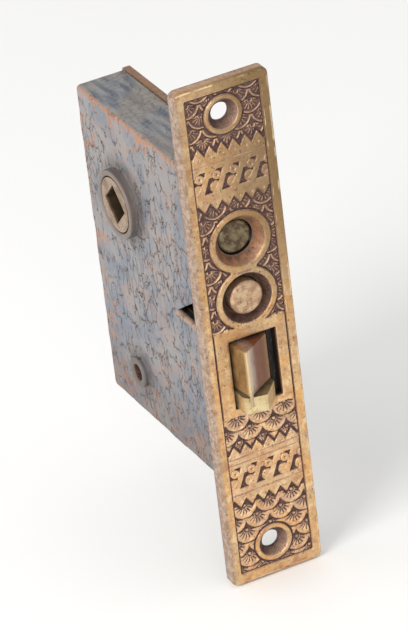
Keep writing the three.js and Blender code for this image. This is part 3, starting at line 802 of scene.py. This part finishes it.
# Fields of fans: lower and upper limit, heights of the rows of centres from the top down,
# a first centre along Y, the fans' level, and whether their ribs stand out.
FAN_FIELDS = (
    (52.0, 70.0, [69.2 - 3.4 * i for i in range(5)], 0.6, DARK_WORN, True),
    (2.0, 39.0, [37.2 - 3.45 * i for i in range(11)], 1.4, DARK_WORN, True),
    (-44.0, -21.5, [-22.3, -25.9, -29.4], 0.55, WORN, False),
    (-70.0, -44.0, [-47.7 - 3.55 * i for i in range(6)], -0.3, WORN, False),
)
TOOTH_PITCH, FIRST_TIP = 3.26, -7.95
SCROLL_PITCH, SCROLL_HEIGHT = 4.72, 7.6
# Bands: upper teeth's tips and valleys, lower teeth's valleys and tips, the scroll's lower
# and upper edges, and the place of its first stem.
BANDS = (
    (53.8, 51.2, 38.5, 36.2, 40.6, 48.8, -5.9),
    (-30.3, -32.6, -45.5, -47.8, -42.9, -35.3, -6.0),
)
GROOVES = (48.9, -33.6, -35.2, -44.0)
PITS = 150


def level_to(ground, mask, level):
    return ground * (1 - mask) + level * mask


def toothed_edge(y, tip, valley):
    """The height of a row of teeth along y."""
    phase = np.abs((y - FIRST_TIP + TOOTH_PITCH / 2) % TOOTH_PITCH - TOOTH_PITCH / 2)
    return tip + (valley - tip) * np.minimum(phase / (TOOTH_PITCH / 2), 1)


def punched_dots(y, z, row):
    """1 in the small dots under each tooth."""
    nearest = FIRST_TIP + np.round((y - FIRST_TIP) / TOOTH_PITCH) * TOOTH_PITCH
    return ease(0.24 - np.hypot(y - nearest, z - row), -0.12, 0.12)


def fan_scales(y, z, rows, first_centre, level, raised):
    """Overlapping fans over the ground.

    Their ribs are cut in, or stand out as thin lines where the casting is less worn."""
    height = np.full_like(y, GROUND)
    for index in reversed(range(len(rows))):
        offset = first_centre + (FAN_PITCH / 2 if index % 2 else 0)
        centre_y = offset + np.round((y - offset) / FAN_PITCH) * FAN_PITCH
        dy, dz = y - centre_y, rows[index] - z
        reach = np.hypot(dy, dz * 0.97)
        inside = (reach < FAN_RADIUS) & (dz > -0.4)
        angle = np.arctan2(dy, np.maximum(dz, 0.05))
        ray = np.abs((angle / RIB_TURN) % 1 - 0.5) * RIB_TURN * reach
        groove = (1 - ease(ray, 0.03, 0.17)) * ease(reach, 0.8, 1.1)
        groove = groove * (1 - ease(reach, 2.35, 2.7))
        outline = ease(reach, FAN_RADIUS - 0.26, FAN_RADIUS - 0.12)
        eye = 1 - ease(np.abs(reach - 0.6), 0.06, 0.22)
        rim = 1 - ease(np.abs(reach - FAN_RADIUS + 0.55), 0.1, 0.35)
        if raised:
            ribs = np.maximum.reduce([groove, rim, eye])
            fan = level + 0.32 * ribs - outline * (level - GROUND)
        else:
            cut = np.maximum.reduce([groove * 0.9, outline, eye * 0.8])
            crown = 0.08 * ease(reach, 0.5, 3.0) + 0.1 * rim
            fan = level + crown - cut * (level + crown - GROUND)
        height = np.where(inside, fan, height)
    return height


def scroll_band(y, z, low, first_stem):
    """A running pattern of leaning stems that end in a round leaf, with a bud beside each."""
    up = z - low
    rise = np.clip(up / SCROLL_HEIGHT, 0, 1)
    stems = [first_stem + k * SCROLL_PITCH for k in range(-1, 7)]
    solid = np.minimum(up - 0.45, 6.55 - up)
    for stem in stems:
        lean = stem + 0.2 - 2.9 * (1 - rise) ** 1.3
        trunk = np.abs(y - lean) * 0.93 - 0.55 - 0.25 * (1 - rise)
        leaf = (np.hypot((y - stem + 3.1) / 1.45, (up - 1.95) / 1.5) - 1) * 1.4
        bud = np.hypot(y - stem + 2.45, up - 4.95) - 1.2
        bridge = np.maximum.reduce([4.6 - up, y - stem + 2.45, stem - SCROLL_PITCH - y])
        solid = np.minimum.reduce([solid, trunk, leaf, bud, bridge])
    height = BAND + ease(solid, -0.06, 0.16) * (GROUND - BAND)
    for stem in stems:
        from_bud = np.hypot(y - stem + 2.45, up - 4.95)
        height -= 0.3 * (1 - ease(from_bud, 0.2, 0.42))
        curl = (up > 4.7) * (y < stem - 1.3)
        height -= 0.26 * curl * (1 - ease(np.abs(from_bud - 1.3), 0.03, 0.2))
        vein = np.abs(np.hypot(y - stem + 4.4, up - 3.3) - 1.9)
        height -= 0.16 * (up < 3.1) * (y > stem - 4.0) * (1 - ease(vein, 0.03, 0.18))
    return height


def cast_ornament(y, z):
    """The fans, and the two toothed bands with their scrolls, dots and thin grooves."""
    flat = np.full_like(y, GROUND)
    for low, high, rows, first_centre, level, raised in FAN_FIELDS:
        fans = fan_scales(y, z, rows, first_centre, level, raised)
        flat = np.where((z > low) & (z < high), fans, flat)
    flat = flat + (flat - GROUND) * 0.3 * value_noise(y, z, 1.1, 3)
    for top_tip, top_valley, bottom_valley, bottom_tip, low, high, stem in BANDS:
        upper = toothed_edge(y, top_tip, top_valley) - z
        lower = z - toothed_edge(y, bottom_tip, bottom_valley)
        inward = np.minimum(upper, lower) * 0.65
        flat = level_to(flat, ease(inward, -0.8, -0.5), GROUND)
        flat = level_to(flat, ease(inward, -0.08, 0.1), BAND)
        flat += 0.09 * (1 - ease(np.abs(inward - 0.24), 0.0, 0.22))
        inside = ease(np.minimum(z - low, high - z), -0.05, 0.12)
        flat = level_to(flat, inside, scroll_band(y, z, low, stem))
        for row in (top_valley - 0.35, bottom_valley - 0.3):
            flat -= 0.2 * punched_dots(y, z, row)
    for groove in GROOVES:
        slant = groove + 0.02 * y
        flat -= 0.22 * (1 - ease(np.abs(z - slant), 0.05, 0.24)) * (flat > -0.4)
    return flat


def from_centre(y, z, centre):
    return np.hypot(y - centre[0], z - centre[1])


def ring_distance(y, z):
    """Signed distance to the flat rings round the cups and the screw holes."""
    beside = np.abs(y - WAIST["y"]) - WAIST["half_width"]
    rings = [np.maximum(beside, np.abs(z - WAIST["z"]) - WAIST["half_height"])]
    rings += [from_centre(y, z, centre) - CUP["ring"] for centre in CUPS]
    rings += [from_centre(y, z, centre) - SCREW["ring"] for centre in SCREWS]
    return np.minimum.reduce(rings)


def opening_distance(y, z, sides, corner):
    low, high = (sides["left"], sides["bottom"]), (sides["right"], sides["top"])
    return box_distance(y, z, *low, *high, corner)


def sink(height, radius, inner, outer, depth, power):
    """Sinks a round dish whose wall falls from outer to depth at inner."""
    t = np.clip((radius - inner) / (outer - inner), 0, 1)
    return np.where(radius < outer, np.minimum(height, depth * (1 - t**power)), height)


def cut_openings(y, z, height):
    """Dishes the cups and the screw holes and eases the window's edge."""
    for centre in CUPS:
        radius = from_centre(y, z, centre)
        height = sink(height, radius, CUP["throat"], CUP["rim"], PLATE_BACK, 1.35)
        height -= 0.07 * (1 - ease(np.abs(radius - CUP["rim"]), 0.0, 0.35))
    for centre in SCREWS:
        radius = from_centre(y, z, centre)
        height = sink(height, radius, SCREW["bore"], SCREW["rim"], SCREW["cone"], 1.2)
    window = opening_distance(y, z, WINDOW, WINDOW_CORNER)
    return height - 0.18 * (1 - ease(window, 0.0, 0.4))


def age(y, z, height):
    """Makes the surface slightly uneven and pits it."""
    height -= 0.05 * (0.5 + 0.5 * value_noise(y, z, 4.0, 8))
    height -= 0.025 * (0.5 + 0.5 * value_noise(y, z, 0.7, 9))
    pits = np.random.default_rng(5)
    for _ in range(PITS):
        py, pz = pits.uniform(PLATE_LOW[1], PLATE_HIGH[1]), pits.uniform(-69, 69)
        size, depth = pits.uniform(0.12, 0.35), pits.uniform(0.05, 0.16)
        near = np.hypot(y - py, (z - pz) * pits.uniform(0.5, 1.2))
        height -= depth * (1 - ease(near, size * 0.3, size))
    return height


def wear_and_painted_light(y, z, height, edge, field, rings):
    """How bright each place is: 0 in the ground, 1 on top, with painted shade in the cups and
    the screw cones and painted highlights along edges that face the light, which also stand for
    worn edges.
    """
    relief = np.clip(1 + height / -GROUND, 0, 1)
    sunk = np.clip(0.72 + height * 0.17, 0.15, 0.72)
    relief = np.where((rings < -0.2) & (height < -0.25), sunk, relief)
    # painted shade: the lower cup's bowl is darkened all round
    shaded_lower_bowl = (z < WAIST["z"]) * (rings < -1.5) * (z > 0)
    relief = relief * (1 - 0.62 * shaded_lower_bowl)
    # painted shade in the screw cones, darkest towards the upper left
    shaded_screw_cone = (np.abs(z) > 50) * (rings < -1.2)
    screw_y, screw_z = SCREWS[0]
    across = screw_y + 1.5 - y + (np.abs(z) - screw_z) * np.sign(z)
    relief = relief * (1 - shaded_screw_cone * (0.42 + 0.36 * ease(across, -1.5, 2.5)))
    # painted highlights along the field's edge, the rings' rims and the rolled plate edge,
    # where they face the light; they also stand for rubbing
    lit_field_edge = 1 - ease(np.abs(field + 0.22), 0.05, 0.3)
    lit_ring_rim = 1 - ease(np.abs(rings + 0.3), 0.05, 0.35)
    lit_plate_edge = 1 - ease(np.abs(edge - 0.45), 0.1, 0.4)
    rubbed = np.maximum.reduce([lit_field_edge, lit_ring_rim * 0.7, lit_plate_edge])
    rubbed = rubbed * np.clip(0.5 + 0.9 * value_noise(y, z, 2.2, 21), 0, 1)
    return relief + 0.16 * rubbed * (relief > 0.75)


def plate_height(y, z):
    """The ornamented front's level in millimetres, and how rubbed it is, with painted shade and
    highlights in that value.
    """
    edge = -plate_outline(y, z)
    field = -opening_distance(y, z, FIELD, 0.2)
    rings = ring_distance(y, z)
    panel = np.minimum(z - PANEL["bottom"], PANEL["top"] - z)
    sides = np.minimum(y - FIELD["left"] - 0.45, FIELD["right"] - 0.4 - y)
    flat = cast_ornament(y, z)
    flat = level_to(flat, ease(np.minimum(panel, sides), -0.12, 0.12), PANEL["level"])
    flat = level_to(flat, 1 - ease(field, 0.2, 0.4), GROUND * 0.9)
    moat = (1 - ease(rings, 0.35, 0.6)) * (panel < 0)
    flat = level_to(flat, moat, GROUND)
    flat = level_to(flat, 1 - ease(rings, -0.15, 0.12), 0.0)
    height = level_to(flat, ease(-field, -0.12, 0.12), 0.0)
    height = age(y, z, cut_openings(y, z, height))
    relief = wear_and_painted_light(y, z, height, edge, field, rings)
    nick = 0.25 * np.maximum(value_noise(y, z, 1.7, 12) - 0.45, 0)
    return height - rolled(edge, 0.45 + nick), relief


def plate_outline(y, z):
    return box_distance(y, z, *PLATE_LOW[1:], *PLATE_HIGH[1:], PLATE_CORNER)


def plate_distance(y, z):
    holes = [SCREW["bore"] - from_centre(y, z, centre) for centre in SCREWS]
    holes += [CUP["throat"] - from_centre(y, z, centre) for centre in CUPS]
    holes.append(-opening_distance(y, z, WINDOW, WINDOW_CORNER))
    return np.maximum.reduce([plate_outline(y, z), *holes])


def make_face_plate():
    y_lines = grid_lines(PLATE_LOW[1], PLATE_HIGH[1], 0.2)
    z_lines = grid_lines(PLATE_LOW[2], PLATE_HIGH[2], 0.2)
    snap_lines(y_lines, WINDOW["left"], WINDOW["right"])
    snap_lines(z_lines, WINDOW["bottom"], WINDOW["top"])
    basis = ((0, 1, 0), (0, 0, 1), (1, 0, 0))
    name, bronze = "plate_relief", MATERIALS["plate_bronze"]
    mesh = relief_slab(
        name, y_lines, z_lines, plate_distance, plate_height, PLATE_BACK, basis
    )
    new_object(name, mesh, "lock_case", bronze, "face_plate")


# ---- Case ---------------------------------------------------------------------------------


def case_outline(x, z):
    return box_distance(x, z, *CASE_LOW[::2], *CASE_HIGH[::2], CASE_CORNER)


def case_side_height(x, z):
    """The cast left side's outward level: pad, bosses' fillets, wrinkles and worn edges."""
    outline = -case_outline(x, z)
    pad = np.minimum.reduce([x - PAD["back"], z - PAD["bottom"], PAD["top"] - z])
    height = -CASE_FACE + 0.5 * ease(pad, -0.2, 0.3)
    for spot in (HUB, POST):
        radius = np.hypot(x - spot["x"], z - spot["z"])
        height += 0.25 * (1 - ease(radius, spot["boss"], spot["boss"] + 0.7))
    height += 0.05 * value_noise(x, z, 6.0, 21)
    warp = 1.6 * value_noise(x, z, 3.0, 22)
    ridge = np.abs(value_noise(x + warp, z - warp, 2.4, 23))
    present = ease(value_noise(x, z, 5.0, 24), -0.1, 0.4)
    height -= 0.09 * (1 - ease(ridge, 0.05, 0.2)) * present
    roll = 0.9 + 0.3 * value_noise(x, z, 5.0, 25)
    at_front = CASE_HIGH[0] - x < 0.8  # this edge meets the face plate and stays square
    edge = np.where(at_front, np.minimum(np.maximum(outline, 0.8), roll), outline)
    return height - rolled(edge, roll), np.ones_like(x)


def case_side_distance(x, z):
    slope = (NOTCH["z"] + (x - NOTCH["apex"]) * NOTCH["rise"] - z) * 0.845
    notch = np.minimum(z - NOTCH["z"], slope)
    holes = [spot["bore"] - np.hypot(x - spot["x"], z - spot["z"]) for spot in (HUB, POST)]
    return np.maximum.reduce([case_outline(x, z), notch, *holes])


def make_case():
    """The left side as a relief, its two bosses, and the CAD walls behind it."""
    x_lines = grid_lines(CASE_LOW[0], CASE_HIGH[0], 0.25)
    z_lines = snap_lines(grid_lines(CASE_LOW[2], CASE_HIGH[2], 0.25), NOTCH["z"])
    basis = ((1, 0, 0), (0, 0, 1), (0, -1, 0))
    side = relief_slab(
        "case_side", x_lines, z_lines, case_side_distance, case_side_height, -CASE_SPLIT, basis
    )
    walls, bm = merged_copy("case_body", 0.01)
    cut = bmesh.ops.bisect_plane(
        bm,
        geom=[*bm.verts, *bm.edges, *bm.faces],
        plane_co=(0, CASE_SPLIT * MM, 0),
        plane_no=(0, 1, 0),
        clear_inner=True,
    )
    rim = [e for e in cut["geom_cut"] if isinstance(e, bmesh.types.BMEdge)]
    bmesh.ops.triangle_fill(bm, edges=rim, use_beauty=True)
    bmesh.ops.triangulate(bm, faces=bm.faces)
    for spot, edge, steps in ((HUB, 0.45, 96), (POST, 0.35, 64)):
        profile = ring_profile(spot["bore"], spot["boss"], spot["rise"], -0.6, edge)
        lathe(bm, profile, (spot["x"], CASE_FACE, spot["z"]), -1, steps)
    bmesh.ops.recalc_face_normals(bm, faces=bm.faces)
    bm.from_mesh(side)
    bm.to_mesh(walls)
    bm.free()
    smooth(walls)
    iron = MATERIALS["case_iron"]
    piece = new_object("case_casting", walls, "lock_case", iron, "case_body")
    weigh_normals(piece)


# ---- Pieces that keep their CAD shape -----------------------------------------------------

# Node, body, material slot, material and width of the worn edges.
EASED_PIECES = (
    ("case_cover", "lock_case", "case_iron", "case_iron", 0.35),
    ("hub_outside", "outside_hub", "hub_brass", "hub_brass", 0.3),
    ("hub_inside", "inside_hub", "hub_brass", "hub_brass", 0.3),
    ("latch_head", "latch", "latch_brass", "latch_brass", 0.2),
    ("latch_tongue", "tongue", "latch_brass", "tongue", 0.18),
    ("button_upper", "upper_button", "button_bronze", "button_upper", 0.12),
    ("button_lower", "lower_button", "button_bronze", "button_lower", 0.12),
)


def make_eased_pieces():
    for node, body, slot, paint, width in EASED_PIECES:
        mesh = eased_copy(node, node + "_worn", width)
        weigh_normals(new_object(node + "_worn", mesh, body, MATERIALS[paint], node))


def paint_inner_works():
    """CAD nodes that stay as they are get the material of their slot."""
    slots = {s["node"]: s["material_slot"] for s in frame["record"]["subparts"]}
    for name, node in frame["nodes"].items():
        if node.hide_render:
            continue
        node.data.materials.clear()
        node.data.materials.append(MATERIALS[slots[name]])


# ---- Springs ------------------------------------------------------------------------------

# Node, joint, radius, wire and turns in millimetres, and length kept.
COILS = (
    ("latch_spring", "latch_slide", 4.0, 0.9, 8, 0.66),
    ("hub_spring", "inside_hub_turn", 2.6, 0.8, 7, 0.66),
)
WIRE_POINTS, TURN_POINTS = 10, 24


def coil_mesh(name, from_x, to_x, centre_y, centre_z, radius, wire, turns):
    """A round-wire compression spring along X, closed at both ends."""
    steps = round(turns * TURN_POINTS)
    t = np.linspace(0, 1, steps + 1)
    angle = 2 * math.pi * turns * t
    lead = (to_x - from_x - wire) / (2 * math.pi * turns)
    cos, sin = np.cos(angle), np.sin(angle)
    centres = np.stack([from_x + wire / 2 + lead * angle, radius * cos, radius * sin], 1)
    tangent = np.stack([np.full_like(angle, lead), -radius * sin, radius * cos], 1)
    tangent /= np.linalg.norm(tangent, axis=1)[:, None]
    outward = np.stack([np.zeros_like(angle), cos, sin], 1)
    across = np.cross(tangent, outward)
    corner = np.linspace(0, 2 * math.pi, WIRE_POINTS, endpoint=False)[None, :, None]
    section = np.cos(corner) * outward[:, None, :] + np.sin(corner) * across[:, None, :]
    points = centres[:, None, :] + section * wire / 2 + (0, centre_y, centre_z)
    faces = []
    for i in range(steps):
        for j in range(WIRE_POINTS):
            k = (j + 1) % WIRE_POINTS
            row, following = i * WIRE_POINTS, (i + 1) * WIRE_POINTS
            faces.append((row + j, row + k, following + k, following + j))
    last = steps * WIRE_POINTS
    faces.append(tuple(reversed(range(WIRE_POINTS))))
    faces.append(tuple(range(last, last + WIRE_POINTS)))
    mesh = bpy.data.meshes.new(name)
    mesh.from_pydata((points.reshape(-1, 3) * MM).tolist(), [], faces)
    mesh.update()
    work = bmesh.new()
    work.from_mesh(mesh)
    bmesh.ops.recalc_face_normals(work, faces=work.faces)
    work.to_mesh(mesh)
    work.free()
    smooth(mesh)
    return mesh


def make_springs():
    """Coil springs over the CAD ones in the case, and a leaf spring that moves with the latch.
    """
    steel = MATERIALS["spring_steel"]
    for node, joint, radius, wire, turns, kept in COILS:
        low, high = cad_box(node)
        _, y, z = (low + high) / 2
        mesh = coil_mesh(node + "_coil", low[0], high[0], y, z, radius, wire, turns)
        spring = new_object(node + "_coil", mesh, "lock_case", steel, node)
        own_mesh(spring)
    mesh = eased_copy("tongue_spring", "tongue_spring_leaf", 0.05)
    leaf = new_object(mesh.name, mesh, "latch", steel, "tongue_spring")
    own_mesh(leaf)


make_face_plate()
make_case()
make_eased_pieces()
make_springs()
paint_inner_works()

# ---- Surroundings -------------------------------------------------------------------------

FLOOR_REACH, FLOOR_GAP = 3.0, 0.0005


def make_floor():
    mesh = bpy.data.meshes.new("floor")
    reach, level = FLOOR_REACH, CAD_LOW[2] - FLOOR_GAP
    corners = [(-reach, -reach, level), (reach, -reach, level), (reach, reach, level)]
    mesh.from_pydata([*corners, (-reach, reach, level)], [], [(0, 1, 2, 3)])
    mesh.materials.append(Paint("floor", metallic=0.0).finish((0.93, 0.93, 0.92, 1.0), 0.9))
    floor = bpy.data.objects.new("floor", mesh)
    SCENE.collection.objects.link(floor)


def soft_light(name, place, size, power, tint=(1.0, 1.0, 1.0)):
    """A square area light that faces the lock."""
    data = bpy.data.lights.new(name, "AREA")
    data.size = size
    data.energy = power
    data.color = tint
    light = bpy.data.objects.new(name, data)
    light.location = place
    light.rotation_euler = Vector(place).to_track_quat("Z", "Y").to_euler()
    SCENE.collection.objects.link(light)


def make_surroundings():
    world = bpy.data.worlds.new("studio")
    world.use_nodes = True
    background = world.node_tree.nodes["Background"]
    background.inputs["Color"].default_value = (1.0, 1.0, 1.0, 1.0)
    background.inputs["Strength"].default_value = 0.75
    SCENE.world = world
    SCENE.view_settings.view_transform = "Standard"
    make_floor()
    soft_light("key", (0.45, -0.95, 0.75), 0.6, 9.0, (1.0, 0.98, 0.95))
    soft_light("front", (1.2, -0.35, 0.08), 0.5, 6.0)
    soft_light("fill", (-0.4, -1.0, 0.1), 0.9, 4.0, (0.95, 0.98, 1.0))


make_surroundings()
